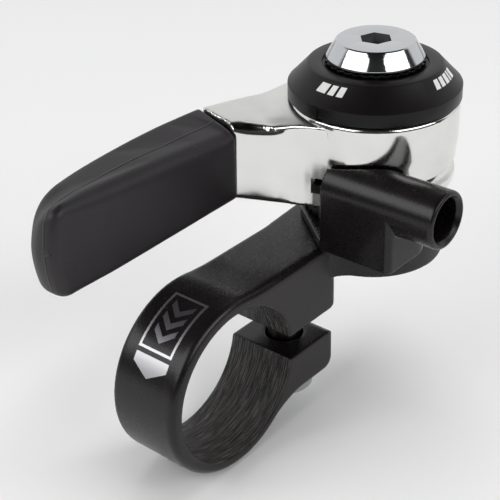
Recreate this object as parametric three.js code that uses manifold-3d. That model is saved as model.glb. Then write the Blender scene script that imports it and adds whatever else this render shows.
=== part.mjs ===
// Indexed thumb shifter for a 22.2 mm handlebar.
// Frame, millimetres: origin at the centre of the clamp bore, Y along the handlebar,
// X from the handlebar towards the lever pivot, Z up along the pivot axis.
import * as THREE from 'three';
import { mergeVertices } from 'three/addons/utils/BufferGeometryUtils.js';
import Module from 'manifold-3d';

const wasm = await Module();
wasm.setup();

// ---------------------------------------------------------------- dimensions
const BORE_R = 11.15;            // clamp bore, for a 22.2 mm bar
const RING_R = 13.0;             // clamp ring outside
const RING_W = 10.9;             // clamp width along the bar
const SLIT_LOW = -1.9;           // clamp slit, lower and upper faces
const SLIT_HIGH = 1.85;
const ARM_TOP = 12.5;            // flat top of arm and seat
const SEAT_LOW = 7.05;           // underside of the round seat
const SEAT_R = 10.5;
const PIVOT = [32.2, -3.9];      // lever pivot axis in X, Y
const CLAMP_BOLT_X = 16.3;

const DOWEL_ORBIT = 8.7;         // pins between seat and cable stop body
const DOWEL_ANGLES = [25, 265];

const STOP_X = 18.0;             // left face of the cable stop block
const STOP_BACK = -5.1;          // its back edge and its end face, along Y
const STOP_END = -16.7;
const PLATE_TOP = 14.2;          // top of the cable stop body's round plate
const BARREL_R = 4.05;           // cable housing socket
const BARREL_BORE = 2.95;
const BARREL_X = STOP_X + BARREL_R;
const BARREL_Z = 21.3;
const BARREL_MOUTH = -22.85;
const HUB_CLEAR_R = 12.45;       // sweep kept free around the hub

const HUB_R = 11.92;
const HUB_LOW = 17.2;
const NECK_LOW = 15.9;           // short neck under the hub
const HUB_TOP = 30.7;
const RECESS_R = 9.7;            // index mechanism recess in the hub
const RECESS_FLOOR = 24.0;

const COVER_R = 12.1;
const COVER_LOW = 31.0;
const COVER_EDGE = 32.95;        // top of the cover's vertical wall
const COVER_LIP = 35.8;           // flat top of the cover
const COVER_TOP = 35.5;           // floor of the shallow round seat under the lock washer
const COVER_SEAT_R = 7.3;
const COVER_SHOULDER_R = 9.5;

const CLICK_STEP = 16.25;        // degrees between lever positions
const CLICKS = 9;
const BALL_R = 1.2;
const BALL_ORBIT = 7.0;

// ---------------------------------------------------------------- materials
const paint = (color, roughness, metalness) =>
  new THREE.MeshStandardMaterial({ color, roughness, metalness });
const blackAlloy = () => paint(0x2c292b, 0.45, 0.6);
const polishedAlloy = () => paint(0xd2d2cf, 0.15, 1.0);
const rubber = () => paint(0x2b282b, 0.75, 0.0);
const chrome = () => paint(0xc9ccd0, 0.18, 1.0);
const steel = () => paint(0x8b8d90, 0.35, 1.0);
const darkSteel = () => paint(0x3a3a3c, 0.4, 0.9);
const acetal = () => paint(0xe6e4dc, 0.5, 0.0);
const plastic = () => paint(0x1b1a1c, 0.4, 0.0);

// ---------------------------------------------------------------- solids
// A closed geometry as a solid: shared vertices merged, empty triangles dropped,
// faces turned outwards.
function solid(geometry) {
  const bare = geometry.clone();
  bare.deleteAttribute('normal');
  bare.deleteAttribute('uv');
  const merged = mergeVertices(bare, 1e-4);
  const p = merged.attributes.position.array;
  const tris = [];
  let volume = 0;
  for (let i = 0; i < merged.index.count; i += 3) {
    const [a, b, c] = [0, 1, 2].map((k) => merged.index.getX(i + k));
    if (a === b || b === c || a === c) continue;
    tris.push(a, b, c);
    const [A, B, C] = [a, b, c].map((k) => new THREE.Vector3().fromArray(p, 3 * k));
    volume += A.dot(B.cross(C));
  }
  if (volume < 0) {
    for (let i = 0; i < tris.length; i += 3) [tris[i], tris[i + 1]] = [tris[i + 1], tris[i]];
  }
  return new wasm.Manifold(new wasm.Mesh({
    numProp: 3,
    vertProperties: new Float32Array(p),
    triVerts: new Uint32Array(tris),
  }));
}

function toGeometry(body) {
  const mesh = body.getMesh();
  const geometry = new THREE.BufferGeometry();
  geometry.setAttribute('position', new THREE.BufferAttribute(mesh.vertProperties, 3));
  geometry.setIndex(new THREE.BufferAttribute(mesh.triVerts, 1));
  geometry.computeVertexNormals();
  return geometry;
}

const group = new THREE.Group();

function add(name, body, material) {
  const mesh = new THREE.Mesh(toGeometry(body), material);
  mesh.name = name;
  group.add(mesh);
}

// A shape stood up along Z from z0 to z1, its edges bevelled inwards.
function prism(shape, z0, z1, bevel = 0, size = bevel, round = 2) {
  const geometry = new THREE.ExtrudeGeometry(shape, {
    depth: z1 - z0 - 2 * bevel,
    bevelEnabled: bevel > 0,
    bevelThickness: bevel,
    bevelSize: size,
    bevelOffset: -size,
    bevelSegments: round,
    curveSegments: 10,
  });
  return geometry.translate(0, 0, z0 + bevel);
}

// A shape drawn in X, Z and carried along Y between y0 and y1.
function prismY(shape, y0, y1, bevel = 0, size = bevel, round = 3) {
  return prism(shape, -y1, -y0, bevel, size, round).rotateX(Math.PI / 2);
}

// A profile of [radius, z] turned about the vertical axis through (x, y).
function turned(profile, segments = 48, [x, y] = PIVOT) {
  const points = profile.map(([r, z]) => new THREE.Vector2(r, z));
  if (profile[0][0] > 0) points.push(points[0].clone());
  return solid(new THREE.LatheGeometry(points, segments).rotateX(Math.PI / 2).translate(x, y, 0));
}

// A plain ring or disc between two heights.
function ring(rIn, rOut, z0, z1, segments = 48, at = PIVOT) {
  const profile = rIn > 0
    ? [[rIn, z0], [rOut, z0], [rOut, z1], [rIn, z1]]
    : [[0, z0], [rOut, z0], [rOut, z1], [0, z1]];
  return turned(profile, segments, at);
}

const box = (x0, x1, y0, y1, z0, z1) => solid(
  new THREE.BoxGeometry(x1 - x0, y1 - y0, z1 - z0)
    .translate((x0 + x1) / 2, (y0 + y1) / 2, (z0 + z1) / 2));

// A rod along Y through (x, z).
const rodY = (r, y0, y1, x, z, segments = 40) => solid(
  new THREE.CylinderGeometry(r, r, y1 - y0, segments).translate(x, (y0 + y1) / 2, z));

const polar = (radius, degrees) => {
  const a = THREE.MathUtils.degToRad(degrees);
  return [PIVOT[0] + radius * Math.cos(a), PIVOT[1] + radius * Math.sin(a)];
};

// ---------------------------------------------------------------- clamp bracket
// Side view of ring, jaws and arm, without the bore.
function clampOutline() {
  const s = new THREE.Shape();
  s.moveTo(27, SEAT_LOW);
  s.lineTo(27, ARM_TOP);
  s.lineTo(4.2, ARM_TOP);
  s.quadraticCurveTo(1.8, ARM_TOP + 0.15, 0, RING_R);
  s.absarc(0, 0, RING_R, Math.PI / 2, THREE.MathUtils.degToRad(313), false);
  s.quadraticCurveTo(10.6, -8.6, 13.2, -8.5);
  s.lineTo(18.8, -8.5);
  s.quadraticCurveTo(21, -8.4, 21, -6.3);
  s.lineTo(21, -1);
  s.lineTo(21.5, 0);
  s.lineTo(21.5, SEAT_LOW);
  s.closePath();
  return s;
}

// Slit between the jaws, opening with rounded lips at the end.
function slitOutline() {
  const s = new THREE.Shape();
  s.moveTo(5, SLIT_LOW);
  s.lineTo(19.6, SLIT_LOW);
  s.quadraticCurveTo(21.2, SLIT_LOW, 21.3, SLIT_LOW - 2);
  s.lineTo(24, SLIT_LOW - 2);
  s.lineTo(24, SLIT_HIGH + 2);
  s.lineTo(21.7, SLIT_HIGH + 2);
  s.quadraticCurveTo(21.6, SLIT_HIGH, 20, SLIT_HIGH);
  s.lineTo(5, SLIT_HIGH);
  s.closePath();
  return s;
}

// Plan of the arm's end and the round seat, with the hollow blend on the near side.
function seatOutline() {
  const half = RING_W / 2;
  const far = Math.asin((half - PIVOT[1]) / SEAT_R);
  const near = THREE.MathUtils.degToRad(204);
  const s = new THREE.Shape();
  s.moveTo(14, half);
  s.lineTo(14, -half);
  s.lineTo(17.2, -half);
  s.quadraticCurveTo(21.2, -half, PIVOT[0] + SEAT_R * Math.cos(near),
    PIVOT[1] + SEAT_R * Math.sin(near));
  s.absarc(PIVOT[0], PIVOT[1], SEAT_R, near, Math.PI * 3 - far, false);
  s.closePath();
  return s;
}

function clampBracket() {
  const half = RING_W / 2;
  let body = solid(prismY(clampOutline(), -half, half, 1.5, 0.85))
    .add(solid(prism(seatOutline(), SEAT_LOW, ARM_TOP, 0.4, 0.4, 1)));
  body = body.subtract(rodY(BORE_R, -8, 8, 0, 0, 60));
  for (const side of [-1, 1]) {
    const chamfer = new THREE.CylinderGeometry(BORE_R + 0.5, BORE_R - 0.3, 0.8, 60);
    if (side < 0) chamfer.rotateX(Math.PI);
    body = body.subtract(solid(chamfer.translate(0, side * (half - 0.1), 0)));
  }
  body = body.subtract(solid(prismY(slitOutline(), -8, 8)));
  const boltHole = ring(0, 2.75, -12, 10.2, 24, [CLAMP_BOLT_X, 0]);
  const headPocket = ring(0, 4.6, -12, -6.4, 32, [CLAMP_BOLT_X, 0]);
  const pivotHole = ring(0, 2.85, SEAT_LOW - 1, ARM_TOP + 1, 24);
  body = body.subtract(boltHole).subtract(headPocket).subtract(pivotHole);
  for (const angle of DOWEL_ANGLES) {
    body = body.subtract(ring(0, 1.25, 9.4, ARM_TOP + 1, 16, polar(DOWEL_ORBIT, angle)));
  }
  return body;
}

// ---------------------------------------------------------------- cable stop body
// Plan: round plate, a straight side up to the block's back corner, then the block.
function stopOutline() {
  const r = SEAT_R - 0.1;
  const back = [STOP_X, STOP_BACK];
  const to = Math.atan2(PIVOT[1] - back[1], PIVOT[0] - back[0]);
  const reach = Math.hypot(PIVOT[0] - back[0], PIVOT[1] - back[1]);
  const touch = to + Math.asin(r / reach) + Math.PI / 2;
  const s = new THREE.Shape();
  s.moveTo(...back);
  s.lineTo(STOP_X, STOP_END + 0.9);
  s.quadraticCurveTo(STOP_X, STOP_END, STOP_X + 0.9, STOP_END);
  s.lineTo(24, STOP_END);
  s.quadraticCurveTo(27.4, STOP_END + 0.2, 30.2, PIVOT[1] - r - 0.25);
  s.absarc(PIVOT[0], PIVOT[1], r, -Math.PI / 2 + 0.05, touch, false);
  s.closePath();
  return s;
}

// The block alone, seen in plan: it stands between the plate and the barrel.
function blockOutline() {
  const s = new THREE.Shape();
  s.moveTo(STOP_X, STOP_BACK);
  s.lineTo(STOP_X, STOP_END + 0.9);
  s.quadraticCurveTo(STOP_X, STOP_END, STOP_X + 0.9, STOP_END);
  s.lineTo(24, STOP_END);
  s.quadraticCurveTo(26.2, STOP_END + 0.05, 27.4, STOP_END + 0.6);
  s.lineTo(24.5, -10.5);
  s.lineTo(21.5, STOP_BACK);
  s.closePath();
  return s;
}

function cableStopBody() {
  const plate = solid(prism(stopOutline(), ARM_TOP + 0.15, PLATE_TOP));
  const block = solid(prism(blockOutline(), ARM_TOP + 0.15, BARREL_Z));
  // Barrel: a tube with a rounded mouth, turned about its own axis.
  const tube = [[0, STOP_BACK], [BARREL_R, STOP_BACK], [BARREL_R, BARREL_MOUTH + 0.8],
    [BARREL_R - 0.2, BARREL_MOUTH + 0.25], [BARREL_R - 0.55, BARREL_MOUTH], [0, BARREL_MOUTH]]
    .map(([r, y]) => new THREE.Vector2(r, y));
  const barrel = solid(new THREE.LatheGeometry(tube, 48).translate(BARREL_X, 0, BARREL_Z));
  let body = plate.add(block).add(barrel);
  // Housing socket with a lead-in, then the small hole for the inner cable.
  const socket = [[0, BARREL_MOUTH - 1], [BARREL_BORE + 0.45, BARREL_MOUTH - 1],
    [BARREL_BORE + 0.45, BARREL_MOUTH + 0.15], [BARREL_BORE, BARREL_MOUTH + 0.75],
    [BARREL_BORE, -11.5], [1.1, -11.1], [1.1, 0], [0, 0]]
    .map(([r, y]) => new THREE.Vector2(r, y));
  body = body.subtract(
    solid(new THREE.LatheGeometry(socket, 32).translate(BARREL_X, 0, BARREL_Z)));
  body = body.subtract(ring(0, HUB_CLEAR_R, HUB_LOW - 0.4, 40, 60));
  body = body.subtract(ring(0, RECESS_R + 0.75, PLATE_TOP, 40, 48));
  body = body.subtract(ring(0, 5.1, ARM_TOP - 1, PLATE_TOP + 1, 32));
  body = body.subtract(ring(0, 7.4, ARM_TOP - 1, ARM_TOP + 0.95, 32));
  for (const angle of DOWEL_ANGLES) {
    body = body.subtract(ring(0, 1.25, ARM_TOP - 1, PLATE_TOP + 1, 16, polar(DOWEL_ORBIT, angle)));
  }
  return body;
}

// ---------------------------------------------------------------- small round parts
// Socket head bolt of the clamp, pointing up into the upper jaw.
function clampBolt() {
  const at = [CLAMP_BOLT_X, 0];
  const profile = [[0, -9.8], [3.7, -9.8], [4.1, -9.4], [4.1, -7.3], [2.4, -7.3],
    [2.4, 9.4], [1.9, 9.9], [0, 9.9]];
  const hex = new THREE.CylinderGeometry(2.3, 2.3, 3, 6).rotateX(Math.PI / 2);
  return turned(profile, 32, at).subtract(solid(hex.translate(at[0], at[1], -9.8)));
}

// Hollow post the lever turns on: flange under the plate, flats at the top.
function pivotPost() {
  const flange = ARM_TOP + 0.15;
  const profile = [[2.75, flange], [7.1, flange], [7.1, flange + 0.6], [4.4, flange + 0.6],
    [4.4, RECESS_FLOOR + 0.2], [3.6, RECESS_FLOOR + 0.2], [3.6, 34.6], [2.75, 34.6]];
  let body = turned(profile, 40);
  for (const side of [-1, 1]) {
    const y = PIVOT[1] + side * 4.0;
    body = body.subtract(box(PIVOT[0] - 5, PIVOT[0] + 5, y - 1.0, y + 1.0, 25, 36));
  }
  return body;
}

// The same double flat as a hole, for the parts the post keeps from turning.
function keyedHole(z0, z1) {
  const round = ring(0, 3.85, z0, z1, 40);
  return round.intersect(box(PIVOT[0] - 5, PIVOT[0] + 5, PIVOT[1] - 3.25, PIVOT[1] + 3.25,
    z0 - 1, z1 + 1));
}

// A toothed rim standing on the plate below the hub.
function knurledRing() {
  const teeth = 40;
  const s = new THREE.Shape();
  for (let i = 0; i < teeth * 2; i += 1) {
    const [x, y] = polar(i % 2 ? 9.95 : 9.4, (i * 180) / teeth);
    if (i) s.lineTo(x, y); else s.moveTo(x, y);
  }
  s.closePath();
  return solid(prism(s, PLATE_TOP + 0.3, NECK_LOW - 0.3)).subtract(ring(0, 8.5, PLATE_TOP, 18));
}

// Torsion spring under the hub, with one leg into the plate side and one outwards.
function assistSpring() {
  const turns = 2.5;
  const points = [];
  for (let i = 0; i <= 50; i += 1) {
    const t = i / 50;
    const [x, y] = polar(6.9, 200 + 360 * turns * t);
    points.push(new THREE.Vector3(x, y, 15.95 + 1.1 * turns * t));
  }
  const path = new THREE.CatmullRomCurve3(points);
  const wire = new THREE.Shape();
  wire.absarc(0, 0, 0.4, 0, Math.PI * 2, false);
  return solid(new THREE.ExtrudeGeometry(wire, { steps: 90, extrudePath: path, curveSegments: 3 }));
}

// A cone washer: inner edge high or low, of even thickness.
function coneWasher(rIn, rOut, zIn, zOut, thick) {
  return turned([[rIn, zIn], [rOut, zOut], [rOut, zOut + thick], [rIn, zIn + thick]], 40);
}

// ---------------------------------------------------------------- lever
const LEVER_END = [14.2, 15.8];  // where the grip starts: near and far side, along X
const TANG = [-13.5, 16.5, 8.9, 12.1, 20.9, 26.9];

// Plan of the arm between hub and grip.
function armOutline() {
  const s = new THREE.Shape();
  s.moveTo(24.3, -5.5);
  s.lineTo(...polar(HUB_R - 0.06, 190));
  s.quadraticCurveTo(20.35, -3.6, 19.3, -1.1);
  s.lineTo(LEVER_END[0], 6.85);
  s.lineTo(LEVER_END[1], 13.75);
  s.quadraticCurveTo(22.5, 11.9, 27.5, 9.0);
  s.lineTo(31.2, 7.9);
  s.lineTo(29.5, 2.5);
  s.closePath();
  return s;
}

// Moves each level of an upright prism so its underside and top follow slopes.
function sloped(geometry, z0, z1, under, over) {
  const p = geometry.attributes.position;
  for (let i = 0; i < p.count; i += 1) {
    const [x, y, z] = [p.getX(i), p.getY(i), p.getZ(i)];
    const t = (z - z0) / (z1 - z0);
    p.setZ(i, under(x, y) * (1 - t) + over(x, y) * t);
  }
  return geometry;
}

function shiftLever() {
  const hub = turned([[5.75, NECK_LOW], [9.9, NECK_LOW], [9.9, HUB_LOW], [10.4, HUB_LOW],
    [10.95, 18.0], [11.58, 19.3], [11.66, 23], [HUB_R, 25.2], [HUB_R, HUB_TOP - 0.5],
    [HUB_R - 0.4, HUB_TOP], [5.75, HUB_TOP]], 60);
  const arm = sloped(prism(armOutline(), 18, 29, 1.3, 0.9, 3), 18, 29,
    (x) => 17.9 + 0.12 * Math.max(0, 20.3 - x),
    (x, y) => 29.5 + 0.07 * (y - 6));
  let body = hub.add(solid(arm)).add(box(...TANG));
  body = body.subtract(ring(0, RECESS_R, RECESS_FLOOR, 40, 48));
  body = body.subtract(ring(0, 8.3, NECK_LOW - 1, 19.6, 40));
  body = body.subtract(ring(0, 5.75, 10, 40, 40));
  // Cable groove, deepest where the cable leaves the socket, and the cable end pocket.
  const bead = Array.from({ length: 10 }, (_, i) => (i * Math.PI) / 5)
    .map((a) => [11.6 + 0.95 * Math.cos(a), BARREL_Z + 1.05 * Math.sin(a)]);
  body = body.subtract(turned(bead, 48, [PIVOT[0] + 0.55, PIVOT[1] + 0.45]));
  body = body.subtract(box(18.6, 23.4, -5.2, -2.5, 20.1, 22.4));
  for (const angle of [-100, 80]) {
    body = body.subtract(ring(0, 0.95, 21.5, RECESS_FLOOR + 1, 12, polar(8.6, angle)));
  }
  return body;
}

// Plan of the rubber grip: straight near side, bowed far side, rounded tip.
function gripOutline() {
  const s = new THREE.Shape();
  s.moveTo(LEVER_END[0] - 0.3, 6.2);
  s.lineTo(-15.6, 6.3);
  s.quadraticCurveTo(-17.8, 6.4, -18.3, 8.4);
  s.quadraticCurveTo(-19.0, 11.8, -15.0, 12.7);
  s.quadraticCurveTo(0, 15.4, LEVER_END[1] - 0.3, 14.4);
  s.closePath();
  return s;
}

function grip() {
  const body = solid(sloped(prism(gripOutline(), 18, 29, 1.5, 1.15, 3), 18, 29,
    (x) => 18.3 - 0.014 * (14 - x),
    (x, y) => 28.9 + 0.045 * (14 - x) + (y - 6.6) * (0.15 - 0.007 * (14 - x))));
  const [x0, x1, y0, y1, z0, z1] = TANG;
  return body.subtract(box(x0 - 0.3, x1, y0 - 0.3, y1 + 0.3, z0 - 0.3, z1 + 0.3));
}

// ---------------------------------------------------------------- index mechanism
// Ring with two sets of seats, one seat for each lever position.
function indexRing() {
  let body = ring(5.0, 9.4, RECESS_FLOOR + 0.2, RECESS_FLOOR + 1.4, 48);
  for (let i = 0; i < CLICKS; i += 1) {
    for (const start of [15, 195]) {
      const at = polar(BALL_ORBIT, start + i * CLICK_STEP);
      body = body.subtract(ring(0, 0.8, 20, 30, 10, at));
    }
  }
  for (const angle of [-100, 80]) {
    body = body.subtract(ring(0, 0.95, 20, 30, 12, polar(8.6, angle)));
  }
  return body;
}

function ballCarrier() {
  const z = RECESS_FLOOR + 1.75;
  let body = ring(0, 9.1, z, z + 1.3, 48).subtract(keyedHole(20, 30));
  for (const start of [15, 195]) {
    body = body.subtract(ring(0, BALL_R + 0.2, 20, 30, 20, polar(BALL_ORBIT, start)));
  }
  return body;
}

const ball = (angle) => {
  const [x, y] = polar(BALL_ORBIT, angle);
  return solid(new THREE.SphereGeometry(BALL_R, 20, 12).translate(x, y, BALL_Z));
};
const BALL_Z = RECESS_FLOOR + 1.4 + BALL_R + 0.03;

// Flat spring that presses the balls down: a keyed ring with a clearance in it.
const clickSpring = () => ring(4.3, 9.0, BALL_Z + BALL_R + 0.1, BALL_Z + BALL_R + 0.45, 40);

// ---------------------------------------------------------------- cover and pivot bolt
function topCover() {
  const profile = [[8.9, COVER_LOW], [COVER_R, COVER_LOW], [COVER_R, COVER_EDGE - 0.15],
    [COVER_R - 0.2, COVER_EDGE], [COVER_SHOULDER_R, COVER_LIP - 0.25], [COVER_SHOULDER_R - 0.4, COVER_LIP],
    [COVER_SEAT_R, COVER_LIP], [COVER_SEAT_R, COVER_TOP], [0, COVER_TOP], [0, COVER_TOP - 1.4],
    [8.2, COVER_TOP - 1.4], [10.6, COVER_EDGE - 0.75], [10.6, COVER_LOW + 0.9],
    [8.9, COVER_LOW + 0.9]];
  const s = profile.map(([r, z]) => new THREE.Vector2(r, z));
  s.push(s[0].clone());
  let body = solid(new THREE.LatheGeometry(s, 60).rotateX(Math.PI / 2).translate(...PIVOT, 0));
  body = body.subtract(keyedHole(33, 37));
  const [nx, ny] = polar(COVER_R, 177.5);
  return body.subtract(box(nx - 0.6, nx + 0.35, ny - 0.45, ny + 0.45, COVER_LOW - 1, 32.4));
}

// Washer with a saw-toothed rim under the bolt head.
function lockWasher() {
  const teeth = 30;
  const s = new THREE.Shape();
  for (let i = 0; i < teeth * 2; i += 1) {
    const [x, y] = polar(i % 2 ? 6.95 : 6.5, (i * 180) / teeth);
    if (i) s.lineTo(x, y); else s.moveTo(x, y);
  }
  s.closePath();
  return solid(prism(s, COVER_TOP + 0.15, COVER_TOP + 0.6)).subtract(ring(0, 3.9, 30, 40, 32));
}

function pivotBolt() {
  const under = COVER_TOP + 0.75;
  const profile = [[0, 8.0], [2.2, 8.0], [2.5, 8.4], [2.5, under], [6.55, under], [6.78, under + 0.2],
    [6.78, under + 0.5], [5.5, under + 2.55], [5.25, under + 2.7], [0, under + 2.7]];
  const hex = new THREE.CylinderGeometry(2.31, 2.31, 4.4, 6)
    .rotateY(THREE.MathUtils.degToRad(41)).rotateX(Math.PI / 2);
  return turned(profile, 60).subtract(solid(hex.translate(...PIVOT, under + 2.7)));
}

// ---------------------------------------------------------------- assembly
group.name = 'thumb_shifter';
const plateTop = PLATE_TOP + 0.3;
const pinTop = RECESS_FLOOR + 1.3;
const upper = BALL_Z + BALL_R + 1.2;

add('clamp_bracket', clampBracket(), blackAlloy());
add('clamp_bolt', clampBolt(), steel());
add('clamp_washer', ring(2.75, 4.3, -7.05, -6.65, 32, [CLAMP_BOLT_X, 0]), steel());
add('cable_stop_body', cableStopBody(), blackAlloy());
DOWEL_ANGLES.forEach((angle, i) => {
  add(`dowel_pin_${i + 1}`, ring(0, 1.0, 9.7, PLATE_TOP - 0.2, 16, polar(DOWEL_ORBIT, angle)), steel());
});
add('pivot_post', pivotPost(), steel());
add('thrust_washer', ring(4.7, 6.2, plateTop, plateTop + 0.7, 40), acetal());
add('knurled_ring', knurledRing(), plastic());
add('assist_spring', assistSpring(), steel());
add('pivot_bushing', ring(4.6, 5.55, plateTop + 1.6, RECESS_FLOOR - 0.2, 40), acetal());
add('shift_lever', shiftLever(), polishedAlloy());
add('grip', grip(), rubber());
add('index_ring', indexRing(), darkSteel());
[-100, 80].forEach((angle, i) => {
  add(`index_pin_${i + 1}`, ring(0, 0.7, 21.8, pinTop, 12, polar(8.6, angle)), steel());
});
add('ball_carrier', ballCarrier(), darkSteel());
add('detent_ball_1', ball(15), chrome());
add('detent_ball_2', ball(195), chrome());
add('click_spring', clickSpring(), steel());
add('friction_washer', ring(0, 8.6, upper, upper + 0.8, 40).subtract(keyedHole(20, 40)), acetal());
add('cone_washer_lower', coneWasher(4.1, 8.2, upper + 1.9, upper + 1.1, 0.6), steel());
add('cone_washer_upper', coneWasher(4.1, 8.2, upper + 2.75, upper + 3.5, 0.6), steel());
add('top_cover', topCover(), plastic());
add('lock_washer', lockWasher(), darkSteel());
add('pivot_bolt', pivotBolt(), chrome());

export default group;
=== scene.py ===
# %% [markdown]
# # A thumb shifter, dressed over its CAD frame
# A split clamp holds the shifter on a handlebar. Its arm carries a round seat, and on the seat stand
# a cable stop and the pivot of an indexed lever. The CAD model gives sizes and movement. This script
# adds what the eye wants: soft cast edges, polished metal, moulded rubber and printed marks.

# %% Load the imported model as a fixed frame
import math

import bmesh
import bpy
from mathutils import Matrix, Vector


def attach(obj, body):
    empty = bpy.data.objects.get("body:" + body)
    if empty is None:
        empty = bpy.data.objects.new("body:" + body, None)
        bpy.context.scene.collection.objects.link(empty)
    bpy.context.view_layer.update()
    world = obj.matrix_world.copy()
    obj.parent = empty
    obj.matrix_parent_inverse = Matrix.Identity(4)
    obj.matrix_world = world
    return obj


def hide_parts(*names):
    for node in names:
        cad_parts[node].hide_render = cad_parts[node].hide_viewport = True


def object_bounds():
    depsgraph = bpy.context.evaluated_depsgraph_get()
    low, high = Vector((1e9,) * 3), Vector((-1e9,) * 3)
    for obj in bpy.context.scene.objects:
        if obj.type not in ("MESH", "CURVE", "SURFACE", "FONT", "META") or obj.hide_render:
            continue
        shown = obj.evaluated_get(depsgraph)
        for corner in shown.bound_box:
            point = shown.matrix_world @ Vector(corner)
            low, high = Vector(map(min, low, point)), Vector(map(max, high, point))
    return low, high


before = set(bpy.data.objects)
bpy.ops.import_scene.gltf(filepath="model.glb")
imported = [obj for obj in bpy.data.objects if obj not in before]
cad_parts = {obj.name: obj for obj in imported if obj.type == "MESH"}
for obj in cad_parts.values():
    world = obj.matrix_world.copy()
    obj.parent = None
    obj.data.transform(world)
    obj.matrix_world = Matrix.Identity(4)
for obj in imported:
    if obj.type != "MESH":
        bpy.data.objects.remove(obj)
cad_low, cad_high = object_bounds()
print("CAD box, mm:", [round((b - a) * 1000, 1) for a, b in zip(cad_low, cad_high)])

# %% [markdown]
# ## The camera
# The camera comes first, because everything is judged through it. It is given by what it looks at,
# from which side, how high, how far, and with what lens.

# %% Camera
MM = 0.001
LOOK_AT = Vector((5.906, -2.887, 17.401)) * MM
AZIMUTH, ELEVATION, ROLL = math.radians(-49.13), math.radians(30.05), math.radians(-1.708)
DISTANCE = 161.78 * MM
LENS = 88.78                     # on a sensor 36 mm wide

to_camera = Vector((math.sin(AZIMUTH) * math.cos(ELEVATION),
                    -math.cos(AZIMUTH) * math.cos(ELEVATION), math.sin(ELEVATION)))
level = Vector((math.cos(AZIMUTH), math.sin(AZIMUTH), 0))
above = to_camera.cross(level)
side = level * math.cos(ROLL) + above * math.sin(ROLL)
up = above * math.cos(ROLL) - level * math.sin(ROLL)

camera_data = bpy.data.cameras.new("camera")
camera_data.lens = LENS
camera_data.clip_start, camera_data.clip_end = 0.01, 20
camera = bpy.data.objects.new("camera", camera_data)
turn = Matrix((side, up, to_camera)).transposed().to_4x4()
camera.matrix_world = Matrix.Translation(LOOK_AT + to_camera * DISTANCE) @ turn
bpy.context.scene.collection.objects.link(camera)
bpy.context.scene.camera = camera
bpy.context.scene.view_settings.view_transform = "Standard"
print("camera at, mm:", [round(v * 1000, 1) for v in camera.location])

# %% [markdown]
# ## The studio
# Polished metal shows the room around it more than its own colour, so the room is part of the look.
# It is a bright floor and a bright wall behind the object, a dark ceiling, a dark side where the
# camera stands, and two wide soft boxes beside the camera. The dark side is what draws the dark
# streaks in the bolt and along the rounded edge of the lever. A large lamp overhead fills in the
# floor and the black parts, and is hidden from reflections.

# %% One small function that adds a node, and one that turns a hex colour to linear light
def node(tree, kind, inputs=None, **settings):
    """Add a node. settings are its own properties; inputs gives each socket a value or a feeding socket."""
    made = tree.nodes.new(kind)
    for name, value in settings.items():
        setattr(made, name, value)
    for socket, value in (inputs or {}).items():
        if isinstance(value, bpy.types.NodeSocket):
            tree.links.new(value, made.inputs[socket])
        else:
            made.inputs[socket].default_value = value
    return made


def colour(text):
    """A hex colour such as #d2d2cf, as the linear red, green, blue and alpha that shaders use."""
    parts = [int(text[i:i + 2], 16) / 255 for i in (1, 3, 5)]
    return (*[p / 12.92 if p <= 0.04045 else ((p + 0.055) / 1.055) ** 2.4 for p in parts], 1.0)


def ramp(tree, factor, *stops):
    """A colour ramp fed by factor, from (position, colour or grey) stops."""
    made = node(tree, "ShaderNodeValToRGB", {0: factor})
    while len(made.color_ramp.elements) < len(stops):
        made.color_ramp.elements.new(1.0)
    for element, (position, value) in zip(made.color_ramp.elements, stops):
        element.position = position
        element.color = colour(value) if isinstance(value, str) else (value, value, value, 1.0)
    return made.outputs[0]


# %% The room, as a world shader
world = bpy.data.worlds.new("studio")
world.use_nodes = True
bpy.context.scene.world = world
room = world.node_tree
room.nodes.clear()
look = node(room, "ShaderNodeTexCoord").outputs["Generated"]
toward = Vector((to_camera.x, to_camera.y, 0)).normalized()
along_x, along_y, height = node(room, "ShaderNodeSeparateXYZ", {0: look}).outputs
flat = node(room, "ShaderNodeCombineXYZ", {0: along_x, 1: along_y}).outputs[0]
flat_look = node(room, "ShaderNodeVectorMath", {0: flat}, operation="NORMALIZE").outputs[0]
facing = node(room, "ShaderNodeVectorMath", {0: flat_look, 1: toward}, operation="DOT_PRODUCT")
nearness = node(room, "ShaderNodeMapRange", {0: facing.outputs["Value"], 1: -1.0, 2: 1.0}).outputs[0]
wall = ramp(room, nearness, (0.0, 1.0), (0.39, 1.0), (0.46, 0.06), (1.0, 0.04))
ceiling = ramp(room, height, (0.0, 1.0), (0.63, 1.0), (0.80, 0.06), (1.0, 0.05))
shade = node(room, "ShaderNodeMix", {0: 1.0, 6: wall, 7: ceiling}, data_type="RGBA", blend_type="MULTIPLY")
background = node(room, "ShaderNodeBackground", {0: shade.outputs[2], 1: 0.86})
node(room, "ShaderNodeOutputWorld", {0: background.outputs[0]})

# %% Soft boxes and floor
def soft_box(name, azimuth, elevation, distance, size, power, mirrored=True):
    """An area light that looks at the object from azimuth degrees round from the camera. A lamp that
    isn't mirrored doesn't show in shiny surfaces."""
    a, e = AZIMUTH + math.radians(azimuth), math.radians(elevation)
    away = Vector((math.sin(a) * math.cos(e), -math.cos(a) * math.cos(e), math.sin(e)))
    data = bpy.data.lights.new(name, "AREA")
    data.shape, data.size, data.size_y, data.energy = "RECTANGLE", size[0], size[1], power
    light = bpy.data.objects.new(name, data)
    light.location = LOOK_AT + away * distance
    light.rotation_mode = "QUATERNION"
    light.rotation_quaternion = away.to_track_quat("Z", "Y")
    light.visible_glossy = mirrored
    bpy.context.scene.collection.objects.link(light)


soft_box("box_left", -62, 35, 0.9, (0.96, 0.48), 4.2)
soft_box("box_right", 55, 35, 0.9, (0.88, 0.42), 3.4)
soft_box("fill_above", 150, 75, 1.2, (1.2, 1.2), 6.4, mirrored=False)

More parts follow.
